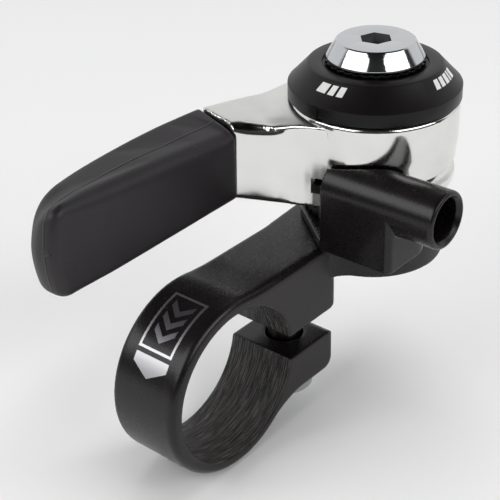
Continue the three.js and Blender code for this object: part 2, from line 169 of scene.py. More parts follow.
bpy.ops.mesh.primitive_plane_add(size=6, location=(0, 0, cad_low.z - 0.0001))
floor = bpy.context.object
floor.name = "floor"
paper = bpy.data.materials.new("white paper")
paper.use_nodes = True
paper.node_tree.nodes["Principled BSDF"].inputs["Base Color"].default_value = colour("#f7f7f7")
paper.node_tree.nodes["Principled BSDF"].inputs["Roughness"].default_value = 0.9
floor.data.materials.append(paper)
print("studio: 3 soft boxes and a floor at z =", round(floor.location.z * 1000, 2), "mm")

# %% [markdown]
# ## Tools for making shapes
# All shapes are drawn in millimetres and brought to metres at the end, because Blender's cutting
# tools work best on numbers near one. Most pieces start as a flat outline that is pushed up, or as a
# profile that is turned about an axis, just as the real ones are milled, cast or turned.

# %% Drawing an outline
PIVOT = (32.2, -3.9)             # the lever's axis in X and Y
BORE_R = 11.15                   # the hole for the handlebar
ARC_STEP = 1.5                   # degrees


def outline(corners, arc=None):
    """A flat face through corners (x, y, slide). slide is how far back from the corner its rounding starts.
    arc is (centre, radius, start, stop) in degrees: the face then begins with that arc."""
    bm = bmesh.new()
    chain = []
    if arc:
        centre, radius, start, stop = arc
        bmesh.ops.create_circle(bm, cap_ends=False, segments=round(360 / ARC_STEP), radius=radius,
                                matrix=Matrix.Rotation(math.radians(start - 90), 4, "Z"))
        turn_of = {v: (math.degrees(math.atan2(v.co.y, v.co.x)) - start + 0.1) % 360 for v in bm.verts}
        spare = [v for v, t in turn_of.items() if t > stop - start + 0.2]
        bmesh.ops.delete(bm, geom=spare, context="VERTS")
        bmesh.ops.translate(bm, verts=bm.verts, vec=(*centre, 0))
        chain = sorted(bm.verts, key=turn_of.get)
    ends = [chain[-1], chain[0]] if chain else []
    added = [bm.verts.new((x, y, 0)) for x, y, _ in corners]
    loop = [ends[0], *added, ends[1]] if ends else [*added, added[0]]
    for pair in zip(loop, loop[1:]):
        bm.edges.new(pair)
    bmesh.ops.contextual_create(bm, geom=bm.edges[:])
    for vert, (_, _, slide) in zip(added, corners):
        if slide:
            bmesh.ops.bevel(bm, geom=[vert], offset=slide, offset_type="OFFSET", affect="VERTICES",
                            segments=8, profile=0.5, material=-1)
    return bm


def raised(bm, low, high, rims=(0.0, 0.0), segments=4):
    """Push a flat face up from low to high, then round its lower and upper rim by the two widths in rims."""
    bmesh.ops.translate(bm, verts=bm.verts, vec=(0, 0, low))
    grown = bmesh.ops.extrude_face_region(bm, geom=bm.faces[:])["geom"]
    bmesh.ops.translate(bm, verts=[g for g in grown if isinstance(g, bmesh.types.BMVert)],
                        vec=(0, 0, high - low))
    bmesh.ops.recalc_face_normals(bm, faces=bm.faces)
    for level_z, rim in zip((low, high), rims):
        if rim:
            flat = [e for e in bm.edges if all(abs(v.co.z - level_z) < 1e-5 for v in e.verts)]
            bmesh.ops.bevel(bm, geom=flat, offset=rim, offset_type="OFFSET", affect="EDGES",
                            segments=segments, profile=0.5, material=-1)
    return bm


# %% Turning a profile, and small solids
def turned(profile, centre=PIVOT, steps=192, open_ends=False):
    """Turn a profile of (radius, z) about the upright axis through centre."""
    bm = bmesh.new()
    verts = [bm.verts.new((r, 0, z)) for r, z in profile]
    pairs = list(zip(verts, verts[1:])) + ([] if open_ends else [(verts[-1], verts[0])])
    edges = [bm.edges.new(p) for p in pairs]
    bmesh.ops.spin(bm, geom=verts + edges, cent=(0, 0, 0), axis=(0, 0, 1), angle=2 * math.pi,
                   steps=steps, use_merge=True)
    bmesh.ops.remove_doubles(bm, verts=bm.verts, dist=1e-4)
    bmesh.ops.recalc_face_normals(bm, faces=bm.faces)
    bmesh.ops.translate(bm, verts=bm.verts, vec=(*centre, 0))
    return bm


def disc(radius, low, high, centre=PIVOT, steps=96):
    """A plain round solid, used for cutting."""
    bm = bmesh.new()
    bmesh.ops.create_cone(bm, cap_ends=True, segments=steps, radius1=radius, radius2=radius,
                          depth=high - low,
                          matrix=Matrix.Translation((*centre, (low + high) / 2)))
    return bm


def block(low, high):
    """A plain box between two corners, used for cutting."""
    bm = bmesh.new()
    size = Vector(high) - Vector(low)
    bmesh.ops.create_cube(bm, size=1, matrix=Matrix.Translation((Vector(high) + Vector(low)) / 2)
                          @ Matrix.Diagonal((*size, 1)))
    return bm


def moved(bm, matrix):
    """The same shape after a move or a turn."""
    bmesh.ops.transform(bm, matrix=matrix, verts=bm.verts)
    return bm


# %% Joining, cutting and softening
def as_object(bm, name="tool"):
    """A mesh object, in millimetres, from a bmesh."""
    mesh = bpy.data.meshes.new(name)
    bm.to_mesh(mesh)
    bm.free()
    made = bpy.data.objects.new(name, mesh)
    bpy.context.scene.collection.objects.link(made)
    return made


def settled(thing):
    """Apply what the object's modifiers make, and remove them."""
    graph = bpy.context.evaluated_depsgraph_get()
    mesh = bpy.data.meshes.new_from_object(thing.evaluated_get(graph))
    thing.modifiers.clear()
    thing.data = mesh
    return thing


def carve(thing, shape, how="DIFFERENCE"):
    """Cut a shape out of thing, or UNION or INTERSECT them."""
    tool = shape if isinstance(shape, bpy.types.Object) else as_object(shape)
    cut = thing.modifiers.new("cut", "BOOLEAN")
    cut.operation, cut.solver, cut.object = how, "MANIFOLD", tool
    settled(thing)
    bpy.data.objects.remove(tool)
    return thing


def softened(thing, grain, passes):
    """Rebuild the skin from small even squares and relax it, so that edges melt into soft rounds."""
    skin = thing.modifiers.new("skin", "REMESH")
    skin.mode, skin.voxel_size, skin.use_smooth_shade = "VOXEL", grain, True
    relax = thing.modifiers.new("relax", "SMOOTH")
    relax.factor, relax.iterations = 0.5, passes
    return settled(thing)


def rimmed(bm, width, share, segments=7):
    """Round the rims of an upright shape by a width that may change along them. share(middle, outward,
    upper) gives each edge its part of width, from 0 to 1."""
    weight = bm.edges.layers.float.new("bevel_weight_edge")
    bm.normal_update()
    for edge in bm.edges:
        caps = [f for f in edge.link_faces if abs(f.normal.z) > 0.7]
        walls = [f for f in edge.link_faces if abs(f.normal.z) <= 0.7]
        if caps and walls:
            middle = (edge.verts[0].co + edge.verts[1].co) / 2
            edge[weight] = share(middle, walls[0].normal, caps[0].normal.z > 0)
    thing = as_object(bm)
    rim = thing.modifiers.new("rim", "BEVEL")
    rim.width, rim.segments, rim.limit_method = width, segments, "WEIGHT"
    rim.use_clamp_overlap = False
    return settled(thing)


def parted(bm, along, start, stop, step):
    """Part the edges of a flat face into short ones, with cuts square to the direction along."""
    for i in range(round((stop - start) / step) + 1):
        bmesh.ops.bisect_plane(bm, geom=bm.verts[:] + bm.edges[:],
                               plane_co=Vector(along) * (start + i * step), plane_no=along)
    return bm


def pressed(thing, shift):
    """Move every point of a dense skin by shift(point)."""
    for vert in thing.data.vertices:
        vert.co += Vector(shift(*vert.co))
    return thing


def ramped(value, start, stop):
    """0 below start, 1 above stop, and a smooth rise between."""
    t = min(1.0, max(0.0, (value - start) / (stop - start)))
    return t * t * (3 - 2 * t)


def eased(thing, width, segments=2, angle=32):
    """Break the sharp edges of a crisp turned or milled piece."""
    ease = thing.modifiers.new("ease", "BEVEL")
    ease.width, ease.segments, ease.limit_method = width, segments, "ANGLE"
    ease.angle_limit = math.radians(angle)
    return settled(thing)


def fitted(thing, name, body, slot, material, *nodes, crisp=None):
    """Bring a finished piece to metres, give it its material and let it ride on its body."""
    thing.name = thing.data.name = name
    thing.data.transform(Matrix.Scale(MM, 4))
    for face in thing.data.polygons:
        face.use_smooth = True
    if crisp:
        thing.data.set_sharp_from_angle(angle=math.radians(crisp))
    thing.data.materials.clear()
    thing.data.materials.append(material)
    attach(thing, body)
    if nodes:
        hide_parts(*nodes)
    size = [round(v * 1000, 1) for v in thing.dimensions]
    print(f"{name}: {len(thing.data.polygons)} faces, {size} mm")

# %% [markdown]
# ## Finishes
# Each finish starts from what the real surface is and how it was made. Patterns use object
# coordinates, so they stay with the piece, and their scale comes from a size in millimetres.

# %% Starting a material
def finish(name, **shader):
    """A new material: its node tree, its shader and its object coordinates. shader sets plain values."""
    material = bpy.data.materials.new(name)
    material.use_nodes = True
    tree = material.node_tree
    tree.nodes.clear()
    body = node(tree, "ShaderNodeBsdfPrincipled", {k.replace("_", " "): v for k, v in shader.items()})
    node(tree, "ShaderNodeOutputMaterial", {0: body.outputs[0]})
    place = node(tree, "ShaderNodeTexCoord").outputs["Object"]
    return material, tree, body, place


def grain(tree, place, size, detail=2.0, rough=0.5):
    """Noise whose lumps are about size millimetres across."""
    return node(tree, "ShaderNodeTexNoise", {"Vector": place, "Scale": 1 / (size * MM), "Detail": detail,
                                             "Roughness": rough}).outputs[0]


def maths(tree, operation, first, second=None):
    """The result of one sum, product or other operation on one or two values."""
    inputs = {0: first} if second is None else {0: first, 1: second}
    return node(tree, "ShaderNodeMath", inputs, operation=operation).outputs[0]


def flecks(tree, place, gap):
    """The distance to the nearest of many scattered points, about gap millimetres apart."""
    return node(tree, "ShaderNodeTexVoronoi", {"Vector": place, "Scale": 1 / (gap * MM)}).outputs["Distance"]


def facing_along(tree, axis):
    """How far the surface faces along X, Y or Z (0, 1 or 2), from -1 to 1."""
    normal = node(tree, "ShaderNodeTexCoord").outputs["Normal"]
    return node(tree, "ShaderNodeSeparateXYZ", {0: normal}).outputs[axis]


def blended(tree, factor, low, high):
    """Two colours mixed by factor."""
    return node(tree, "ShaderNodeMix", {0: factor, 6: low, 7: high}, data_type="RGBA").outputs[2]


def spread(tree, factor, low, high, start=0.0, stop=1.0):
    """factor from start to stop, stretched to run from low to high."""
    return node(tree, "ShaderNodeMapRange", {0: factor, 1: start, 2: stop, 3: low, 4: high}).outputs[0]


def relief(tree, body, height, depth, strength=1.0, under=None):
    """Bump of a real depth in millimetres, laid over another bump if one is given."""
    inputs = {"Height": height, "Distance": depth * MM, "Strength": strength}
    if under:
        inputs["Normal"] = under
    made = node(tree, "ShaderNodeBump", inputs).outputs[0]
    tree.links.new(made, body.inputs["Normal"])
    return made


# %% [markdown]
# Black anodised cast aluminium. The part is cast, tumbled smooth, dyed and sealed, so it is a deep
# warm black with a soft shine on its outer faces. Its flat sides were left from the mould and look
# greyer, with small pits. The bore is reamed roughly, and shows turning marks that run round it. The
# pale streaks in their colour are painted glints.

# %% Black anodised cast aluminium
def anodised(name, bored=False):
    """Tumbled outside, greyer on flat sides, with torn turning marks where bored, whose pale streaks are
    painted glints.
    """
    material, tree, body, place = finish(name, Base_Color=colour("#262222"), Roughness=0.36,
                                        Specular_IOR_Level=0.38)
    lumps = grain(tree, place, 0.30, 3.0, 0.6)
    clouds = grain(tree, place, 4.0, 3.0)
    tone = blended(tree, spread(tree, clouds, 0, 1, 0.35, 0.65), colour("#110e0f"), colour("#191516"))
    flat_side = spread(tree, maths(tree, "ABSOLUTE", facing_along(tree, 1)), 0, 1, 0.90, 0.985)
    tone = blended(tree, flat_side, tone, colour("#221e1e"))
    specks = ramp(tree, flecks(tree, place, 1.6), (0.0, 1.0), (0.045, 0.9), (0.06, 0.0))
    tone = blended(tree, maths(tree, "MULTIPLY", specks, 0.22), tone, colour("#8c8884"))
    gloss = spread(tree, flat_side, 0.27, 0.50)
    gloss = maths(tree, "ADD", gloss, spread(tree, lumps, -0.05, 0.07))
    skin = relief(tree, body, lumps, 0.012, 0.5)
    if bored:
        x, y, z = node(tree, "ShaderNodeSeparateXYZ", {0: place}).outputs
        angle = maths(tree, "ARCTAN2", z, x)
        across = node(tree, "ShaderNodeCombineXYZ", {0: x, 1: z}).outputs[0]
        radius = node(tree, "ShaderNodeVectorMath", {0: across}, operation="LENGTH").outputs["Value"]
        inside = maths(tree, "LESS_THAN", radius, (BORE_R + 0.12) * MM)
        # One turn of the tool is about 0.17 mm wide, and each mark runs some 4 mm before it tears.
        run = maths(tree, "MULTIPLY", angle, 2.6)
        turns = maths(tree, "MULTIPLY", y, 1 / (0.17 * MM))
        along = node(tree, "ShaderNodeCombineXYZ", {0: run, 1: turns}).outputs[0]
        marks = node(tree, "ShaderNodeTexNoise", {"Vector": along, "Scale": 1.0, "Detail": 4.0,
                                                  "Roughness": 0.7, "Distortion": 0.3}).outputs[0]
        # The marks' pattern and relief are their own, but the pale end of their colour is a painted glint
        # along the ridges.
        torn = blended(tree, spread(tree, marks, 0, 1, 0.46, 0.66), colour("#060505"), colour("#6e6967"))
        tone = blended(tree, inside, tone, torn)
        gloss = node(tree, "ShaderNodeMix", {0: inside, 2: gloss, 3: 0.27}, data_type="FLOAT").outputs[0]
        relief(tree, body, maths(tree, "MULTIPLY", marks, inside), 0.34, 1.0, skin)
    tree.links.new(tone, body.inputs["Base Color"])
    tree.links.new(gloss, body.inputs["Roughness"])
    return material


anodised_clamp = anodised("black anodised cast aluminium, bored", bored=True)
anodised_stop = anodised("black anodised cast aluminium")
print("finishes:", anodised_clamp.name, "and", anodised_stop.name)

# %% [markdown]
# Polished aluminium. The lever is forged and buffed on its sides until it mirrors the room, and its
# flat top is left with a satin from the belt. The buffing leaves faint waves and hairlines.

# %% Polished aluminium
polished, tree, body, place = finish("buffed aluminium", Base_Color=colour("#e2e2e0"), Metallic=1.0,
                                     Roughness=0.12)
satin = spread(tree, facing_along(tree, 2), 0, 1, 0.72, 0.92)
stretched = node(tree, "ShaderNodeMapping", {"Vector": place, "Scale": (0.12, 1.0, 1.0)}).outputs[0]
hairlines = grain(tree, stretched, 0.16, 2.0, 0.7)
stains = grain(tree, place, 3.0, 3.0)
shine = spread(tree, satin, 0.10, 0.29)
shine = maths(tree, "ADD", shine, spread(tree, hairlines, -0.02, 0.05))
tree.links.new(shine, body.inputs["Roughness"])
tree.links.new(blended(tree, stains, colour("#dcdcda"), colour("#e8e8e6")), body.inputs["Base Color"])
waves = relief(tree, body, grain(tree, place, 3.2, 1.0), 0.05, 0.5)
relief(tree, body, hairlines, 0.004, 0.4, waves)

# %% [markdown]
# Moulded rubber. The grip is a soft thermoplastic with a fine matt grain from the mould. It picks up
# dust, which shows as small pale flecks, and its rounded edge carries one broad dull highlight.

# %% Moulded rubber
rubber, tree, body, place = finish("moulded rubber", Base_Color=colour("#2b272b"), Roughness=0.5,
                                   Specular_IOR_Level=0.5)
pebble = grain(tree, place, 0.16, 2.0, 0.6)
clouds = grain(tree, place, 5.0, 2.0)
tone = blended(tree, clouds, colour("#151115"), colour("#1e191e"))
dust = ramp(tree, flecks(tree, place, 1.9), (0.0, 1.0), (0.035, 0.8), (0.05, 0.0))
tone = blended(tree, maths(tree, "MULTIPLY", dust, 0.25), tone, colour("#8a868a"))
tree.links.new(tone, body.inputs["Base Color"])
tree.links.new(spread(tree, pebble, 0.40, 0.54), body.inputs["Roughness"])
skin = relief(tree, body, pebble, 0.02, 0.6)
# The two halves of the mould meet on a line that lies a little off the middle toward the tip.
SEAM_Y, SEAM_HALF = 10.2, 0.22
SEAM_BEND = 6.2                           # metres of bend for each square metre of X squared
GATE, GATE_R = (-18.9, 7.6, 24.9), 1.2    # the scar where the rubber came in
x, y, _ = node(tree, "ShaderNodeSeparateXYZ", {0: place}).outputs
before = maths(tree, "MINIMUM", x, 0.0)
bend = maths(tree, "MULTIPLY", maths(tree, "MULTIPLY", before, before), SEAM_BEND)
line = maths(tree, "SUBTRACT", SEAM_Y * MM, bend)
off = maths(tree, "ABSOLUTE", maths(tree, "SUBTRACT", y, line))
seam = spread(tree, off, 1.0, 0.0, 0.0, SEAM_HALF * MM)
gate = [v * MM for v in GATE]
from_gate = node(tree, "ShaderNodeVectorMath", {0: place, 1: gate}, operation="DISTANCE").outputs["Value"]
scar = ramp(tree, spread(tree, from_gate, 0, 1, 0.0, GATE_R * MM),
            (0.0, 0.4), (0.40, 0.4), (0.46, 0.0), (0.54, 1.0), (0.62, 0.0), (1.0, 0.0))
marks = maths(tree, "MAXIMUM", seam, scar)
relief(tree, body, marks, 0.12, 1.0, skin)

# %% [markdown]
# Satin black turned metal for the cover. It was turned on a lathe before it was blackened, so very
# fine rings run round its axis, seen only where light grazes it.

# %% Satin black turned cover
def round_marks(tree, place, pitch):
    """Fine rings about the pivot's axis, pitch millimetres apart."""
    to_axis = (-PIVOT[0] * MM, -PIVOT[1] * MM, 0)
    moved_in = node(tree, "ShaderNodeMapping", {"Vector": place, "Location": to_axis}).outputs[0]
    x, y, z = node(tree, "ShaderNodeSeparateXYZ", {0: moved_in}).outputs
    flat = node(tree, "ShaderNodeCombineXYZ", {0: x, 1: y}).outputs[0]
    radius = node(tree, "ShaderNodeVectorMath", {0: flat}, operation="LENGTH").outputs["Value"]
    line = node(tree, "ShaderNodeCombineXYZ", {0: maths(tree, "ADD", radius, z)}).outputs[0]
    return node(tree, "ShaderNodeTexNoise", {"Vector": line, "Scale": 1 / (pitch * MM), "Detail": 3.0,
                                             "Roughness": 0.7}).outputs[0]


black_cover, tree, body, place = finish("black anodised turned aluminium", Base_Color=colour("#171416"),
                                        Roughness=0.33, Specular_IOR_Level=0.24)
rings = round_marks(tree, place, 0.12)
tone = blended(tree, grain(tree, place, 3.0), colour("#0d0a0c"), colour("#151113"))
tree.links.new(tone, body.inputs["Base Color"])
tree.links.new(spread(tree, rings, 0.29, 0.40), body.inputs["Roughness"])
relief(tree, body, grain(tree, place, 0.2), 0.006, 0.5, relief(tree, body, rings, 0.008, 0.5))

# %% [markdown]
# Bright chrome plate for the pivot bolt, and the plainer metals and plastics of the parts inside.
# Chrome follows every ripple of the steel under it, so it gets a very shallow wave.

# %% Chrome, steels and plastics
def metal(name, hue, rough, ripple_size, ripple_depth, turned_by=None):
    """A bare or plated metal with ripples, and turning marks if turned_by gives their pitch."""
    material, tree, body, place = finish(name, Base_Color=colour(hue), Metallic=1.0, Roughness=rough)
    ripples = grain(tree, place, ripple_size, 2.0)
    marks = round_marks(tree, place, turned_by) if turned_by else grain(tree, place, ripple_size / 3)
    tree.links.new(spread(tree, marks, rough * 0.75, rough * 1.3), body.inputs["Roughness"])
    relief(tree, body, marks, ripple_depth / 3, 0.5, relief(tree, body, ripples, ripple_depth, 0.6))
    return material


def plastic(name, hue, rough, depth=0.01):
    """A moulded plastic with a fine skin."""
    material, tree, body, place = finish(name, Base_Color=colour(hue), Roughness=rough)
    skin = grain(tree, place, 0.2, 2.0)
    dark = [c * 0.86 for c in colour(hue)[:3]] + [1.0]
    tree.links.new(blended(tree, grain(tree, place, 2.5), dark, colour(hue)), body.inputs["Base Color"])
    tree.links.new(spread(tree, skin, rough * 0.85, rough * 1.15), body.inputs["Roughness"])
    relief(tree, body, skin, depth, 0.5)
    return material


chrome = metal("bright chrome plate", "#c6c8cb", 0.08, 0.5, 0.006)
zinc = metal("zinc plated steel", "#b4b7bb", 0.28, 0.6, 0.01, turned_by=0.1)
blackened = metal("black oxide steel", "#3b3b3e", 0.34, 0.4, 0.01)
# This dull steel serves only as painted shade inside the pivot bolt's socket.
bare = metal("dull steel for painted socket shade", "#77797c", 0.42, 0.4, 0.01)
acetal = plastic("natural acetal", "#e6e4dc", 0.42)
toothed_plastic = plastic("black moulded nylon", "#1d1b1d", 0.45)
silver_ink = metal("silver printing ink", "#c9c9cc", 0.38, 0.3, 0.004)
grey_ink = metal("grey printing ink", "#96949a", 0.42, 0.3, 0.004)
white_ink = plastic("white printing ink", "#f0f0ee", 0.5, 0.004)
print("finishes:", len(bpy.data.materials), "materials")

# %% [markdown]
# ## The clamp
# The clamp is one casting: a split ring for the bar, two jaws, a straight arm and a round seat. It is
# drawn from the side and pushed through the ring's width, because every edge of the real casting runs
# round that side view. The seat is drawn from above. Rebuilding the joined skin from small squares
# and relaxing it gives the soft inside corners that a casting has, which plain cutting does not.

# %% Clamp sizes
RING_R, RING_W = 13.0, 10.9
ARM_TOP, SEAT_LOW, SEAT_R = 12.5, 7.05, 10.5
SLIT = (-1.9, 1.85)
BOLT_X = 16.3
DOWELS = [(8.7, 25), (8.7, 265)]
SHANK_HOLE, HEAD_HOLE, POST_HOLE, DOWEL_HOLE = 2.75, 4.6, 2.85, 1.25      # radii
SHANK_TOP, HEAD_TOP, DOWEL_FLOOR = 10.2, -6.4, 9.4                        # where those holes end


def polar(radius, degrees, centre=PIVOT):
    """The point at radius and angle about the pivot."""
    a = math.radians(degrees)
    return centre[0] + radius * math.cos(a), centre[1] + radius * math.sin(a)


# %% Clamp casting
upright = Matrix.Rotation(math.radians(90), 4, "X")      # a side view drawn flat, stood up
side_view = outline(
    [(10.52, -8.5, 3.3), (21.25, -8.5, 2.1), (21.25, -0.6, 0.3), (21.8, 0.1, 0.3), (21.8, SEAT_LOW, 0),
     (27, SEAT_LOW, 0), (27, ARM_TOP, 0), (4.47, ARM_TOP, 2.2)],
    arc=((0, 0), RING_R, 82, 305.5))
clamp = as_object(moved(raised(side_view, -RING_W / 2, RING_W / 2, (0.45, 1.1), 5), upright))
half = RING_W / 2
seat_view = outline([(18.5, half - 0.02, 3.5), (13, half - 0.6, 0), (13, 1.1 - half, 0), (21.4, -half, 2.7)],
                    arc=(PIVOT, SEAT_R, 204 - 360, 94.5))
carve(clamp, raised(seat_view, SEAT_LOW, ARM_TOP, (0.35, 0.35), 2), "UNION")
carve(clamp, moved(disc(BORE_R, -9, 9, (0, 0), 240), upright))
for end in (-1, 1):
    cone = bmesh.new()
    bmesh.ops.create_cone(cone, cap_ends=True, segments=240, radius1=BORE_R - 0.45, radius2=BORE_R + 0.55,
                          depth=1.0, matrix=Matrix.Translation((0, end * (half - 0.1), 0))
                          @ Matrix.Rotation(math.radians(-90 * end), 4, "X"))
    carve(clamp, cone)
slit = outline([(5, SLIT[0], 0), (21.2, SLIT[0], 1.4), (21.4, SLIT[0] - 2, 0), (25, SLIT[0] - 2, 0),
                (25, SLIT[1] + 2, 0), (21.9, SLIT[1] + 2, 0), (21.6, SLIT[1], 1.4), (5, SLIT[1], 0)])
carve(clamp, moved(raised(slit, -9, 9), upright))
carve(clamp, disc(SHANK_HOLE, -12, SHANK_TOP, (BOLT_X, 0), 64))
carve(clamp, disc(HEAD_HOLE, -12, HEAD_TOP, (BOLT_X, 0), 64))
carve(clamp, disc(POST_HOLE, SEAT_LOW - 1, ARM_TOP + 1, PIVOT, 64))
for orbit, angle in DOWELS:
    carve(clamp, disc(DOWEL_HOLE, DOWEL_FLOOR, ARM_TOP + 1, polar(orbit, angle), 32))
softened(clamp, 0.22, 3)
fitted(clamp, "clamp_casting", "base", "black_alloy", anodised_clamp, "clamp_bracket")

# %% [markdown]
# ## The cable stop
# A second casting stands on the seat: a thin round plate, a block, and a tube that takes the end of
# the cable housing. The tube is turned about its own axis, then cut to clear the lever's hub.

# %% Cable stop sizes
STOP_X, STOP_BACK, STOP_END = 18.0, -5.1, -16.7
PLATE_LOW, PLATE_TOP = ARM_TOP + 0.15, 14.2
HUB_ROOM, HUB_ROOM_LOW, NECK_ROOM, PLATE_HOLE, RELIEF_R = 12.45, 16.8, 10.45, 5.1, 7.4
ABOVE = 40                       # cuts that go out through the top end here
BARREL_R, BARREL_BORE, BARREL_Z, MOUTH = 4.05, 2.95, 21.3, -22.85
BARREL_X = STOP_X + BARREL_R
plate_r = SEAT_R - 0.1

# %% Cable stop casting
# The plate's rim runs round to where a line from the block's back corner just touches it.
reach = math.hypot(PIVOT[0] - STOP_X, PIVOT[1] - STOP_BACK)
touch = math.degrees(math.atan2(PIVOT[1] - STOP_BACK, PIVOT[0] - STOP_X) + math.asin(plate_r / reach)) + 90
plan = outline([(STOP_X, STOP_BACK, 0), (STOP_X, STOP_END, 0.9), (25.6, STOP_END, 2.6)],
               arc=(PIVOT, plate_r, -88.5, touch))
stop = as_object(raised(plan, PLATE_LOW, PLATE_TOP, (0.2, 0.2), 2))
post = outline([(STOP_X, STOP_BACK, 0), (STOP_X, STOP_END, 0.9), (26.6, STOP_END, 1.6),
                (27.4, STOP_END + 0.8, 0), (24.5, -10.5, 0), (21.5, STOP_BACK, 0)])
carve(stop, raised(post, PLATE_LOW, BARREL_Z), "UNION")
lie_down = Matrix.Translation((BARREL_X, 0, BARREL_Z)) @ Matrix.Rotation(math.radians(90), 4, "X")
tube = turned([(0, -STOP_BACK), (BARREL_R, -STOP_BACK), (BARREL_R, -MOUTH - 0.45),
               (BARREL_R - 0.14, -MOUTH - 0.14), (BARREL_R - 0.45, -MOUTH), (0, -MOUTH)],
              (0, 0), open_ends=True)
carve(stop, moved(tube, lie_down), "UNION")
socket = turned([(0, -MOUTH + 1), (BARREL_BORE + 0.45, -MOUTH + 1), (BARREL_BORE + 0.45, -MOUTH - 0.1),
                 (BARREL_BORE, -MOUTH - 0.65), (BARREL_BORE, 11.5), (1.1, 11.1), (1.1, -2), (0, -2)],
                (0, 0), open_ends=True)
carve(stop, moved(socket, lie_down))
carve(stop, disc(HUB_ROOM, HUB_ROOM_LOW, ABOVE, PIVOT, 240))
carve(stop, disc(NECK_ROOM, PLATE_TOP, ABOVE, PIVOT, 240))
carve(stop, disc(PLATE_HOLE, ARM_TOP - 1, PLATE_TOP + 1))
carve(stop, disc(RELIEF_R, ARM_TOP - 1, ARM_TOP + 0.95))
for orbit, angle in DOWELS:
    carve(stop, disc(DOWEL_HOLE, ARM_TOP - 1, PLATE_TOP + 1, polar(orbit, angle), 32))
softened(stop, 0.14, 3)
fitted(stop, "cable_stop_casting", "base", "black_alloy", anodised_stop, "cable_stop_body")

# %% [markdown]
# ## The lever
# The lever is forged: a turned hub with a flat arm that runs off it at a tangent. A wide hollow blend
# joins the arm's top to the hub's rim, the near top edge is rounded widely, and a groove for the cable
# runs round the hub. A tang on the end carries the grip.

# %% Lever sizes
HUB_R, HUB_LOW, NECK_LOW, HUB_TOP = 11.92, 17.2, 15.9, 30.7
RECESS_R, RECESS_FLOOR = 9.7, 24.0
LEVER_END = (14.2, 15.8)         # X of the arm's two end corners
ARM_NEAR_Y = 6.85                # Y of the near one
HUB_BORE = 5.75
DRAWN = (18, 29)                 # arm and grip are pushed up between these heights, then sloped
ALONG = Vector((-0.533, 0.846, 0))       # along the arm's near side, toward the grip
NEAR = Vector((-0.846, -0.533, 0))       # square to it, outwards
TANG = ((-13.5, 8.9, 20.9), (16.5, 12.1, 26.9))


def sloped(bm, low, high, under, over):
    """Tilt the underside and top of an upright shape: under and over give their heights at (x, y)."""
    for v in bm.verts:
        t = (v.co.z - low) / (high - low)
        v.co.z = under(v.co.x, v.co.y) * (1 - t) + over(v.co.x, v.co.y) * t
    return bm


def arm_floor(x, y):
    """The arm's underside, which rises toward the grip."""
    return 17.8 + 0.12 * max(0, 20.3 - x)


def arm_top(x, y):
    """The arm's top, which rises a little toward the far side."""
    return 29.5 + 0.07 * (y - 6)


# %% Lever forging
lever = as_object(turned([
    (HUB_BORE, NECK_LOW), (9.9, NECK_LOW), (9.9, HUB_LOW), (10.4, HUB_LOW), (10.95, 18.0), (11.35, 18.7),
    (11.58, 19.3), (11.66, 20.6), (11.66, 23.0), (11.74, 24.1), (11.86, 24.8), (HUB_R, 25.4),
    (HUB_R, HUB_TOP - 0.55), (HUB_R - 0.12, HUB_TOP - 0.2), (HUB_R - 0.5, HUB_TOP),
    (HUB_BORE, HUB_TOP)], steps=240))
arm_view = outline([(24.3, -5.5, 0), (*polar(HUB_R - 0.06, 200), 0), (20.15, -2.6, 5.0),
                    (LEVER_END[0], ARM_NEAR_Y, 0), (LEVER_END[1], 13.75, 0), (22.9, 11.7, 3.5),
                    (31.2, 7.9, 0), (29.5, 2.5, 0)])
arm = raised(parted(arm_view, ALONG, -12, 2, 0.7), *DRAWN)
sloped(arm, *DRAWN, arm_floor, arm_top)


def arm_rim(middle, outward, upper):
    """Wide on the near top edge, more so toward the grip. Narrow on the far edge and below."""
    if outward.x < -0.9:
        return 0.05
    if outward.dot(NEAR) <= 0.6:
        return 0.25
    r = math.hypot(middle.x - PIVOT[0], middle.y - PIVOT[1])
    return 0.28 + 0.72 * ramped(r, 12.5, 20) if upper else 0.28


carve(lever, rimmed(arm, 1.9, arm_rim), "UNION")
carve(lever, block(*TANG), "UNION")
carve(lever, disc(RECESS_R, RECESS_FLOOR, ABOVE, PIVOT, 192))
carve(lever, disc(8.3, NECK_LOW - 1, 19.6, PIVOT, 128))
carve(lever, disc(HUB_BORE, 10, ABOVE, PIVOT, 128))
groove = bmesh.new()
bmesh.ops.create_circle(groove, segments=20, radius=1.0, matrix=Matrix.Translation((11.6, 0, BARREL_Z))
                        @ Matrix.Rotation(math.radians(90), 4, "X") @ Matrix.Diagonal((0.95, 1.05, 1, 1)))
bmesh.ops.spin(groove, geom=groove.verts[:] + groove.edges[:], cent=(0, 0, 0), axis=(0, 0, 1),
               angle=2 * math.pi, steps=240, use_merge=True)
bmesh.ops.recalc_face_normals(groove, faces=groove.faces)
bmesh.ops.translate(groove, verts=groove.verts, vec=(PIVOT[0] + 0.55, PIVOT[1] + 0.45, 0))
carve(lever, groove)
for angle in (-100, 80):                 # holes for the pins of the index ring
    carve(lever, disc(0.95, 21.5, RECESS_FLOOR + 1, polar(8.6, angle), 24))


def forged(x, y, z):
    """Sweep the arm's top up to the hub's rim, and lean the near side out a little toward the bottom."""
    r = math.hypot(x - PIVOT[0], y - PIVOT[1])
    around = math.degrees(math.atan2(y - PIVOT[1], x - PIVOT[0])) % 360
    top = arm_top(x, y)
    sweep = 1.15 * (1 - ramped(r, 11.9, 16.4))
    rise = 0
    if z > top and r > 11.3 and 98 < around < 192:
        rise = max(0, top + sweep - z) * (1 - ramped(around, 187, 191))
    elif r > 11.97:
        rise = sweep * ramped(z, top - 2.2, top - 0.5)
    depth = (x - LEVER_END[0]) * NEAR.x + (y - ARM_NEAR_Y) * NEAR.y
    lean = 0.07 * (23.5 - z) * ramped(depth, -3.5, -1.0) * ramped(r, 12.2, 15)
    return NEAR.x * lean, NEAR.y * lean, rise


pressed(softened(lever, 0.215, 4), forged)
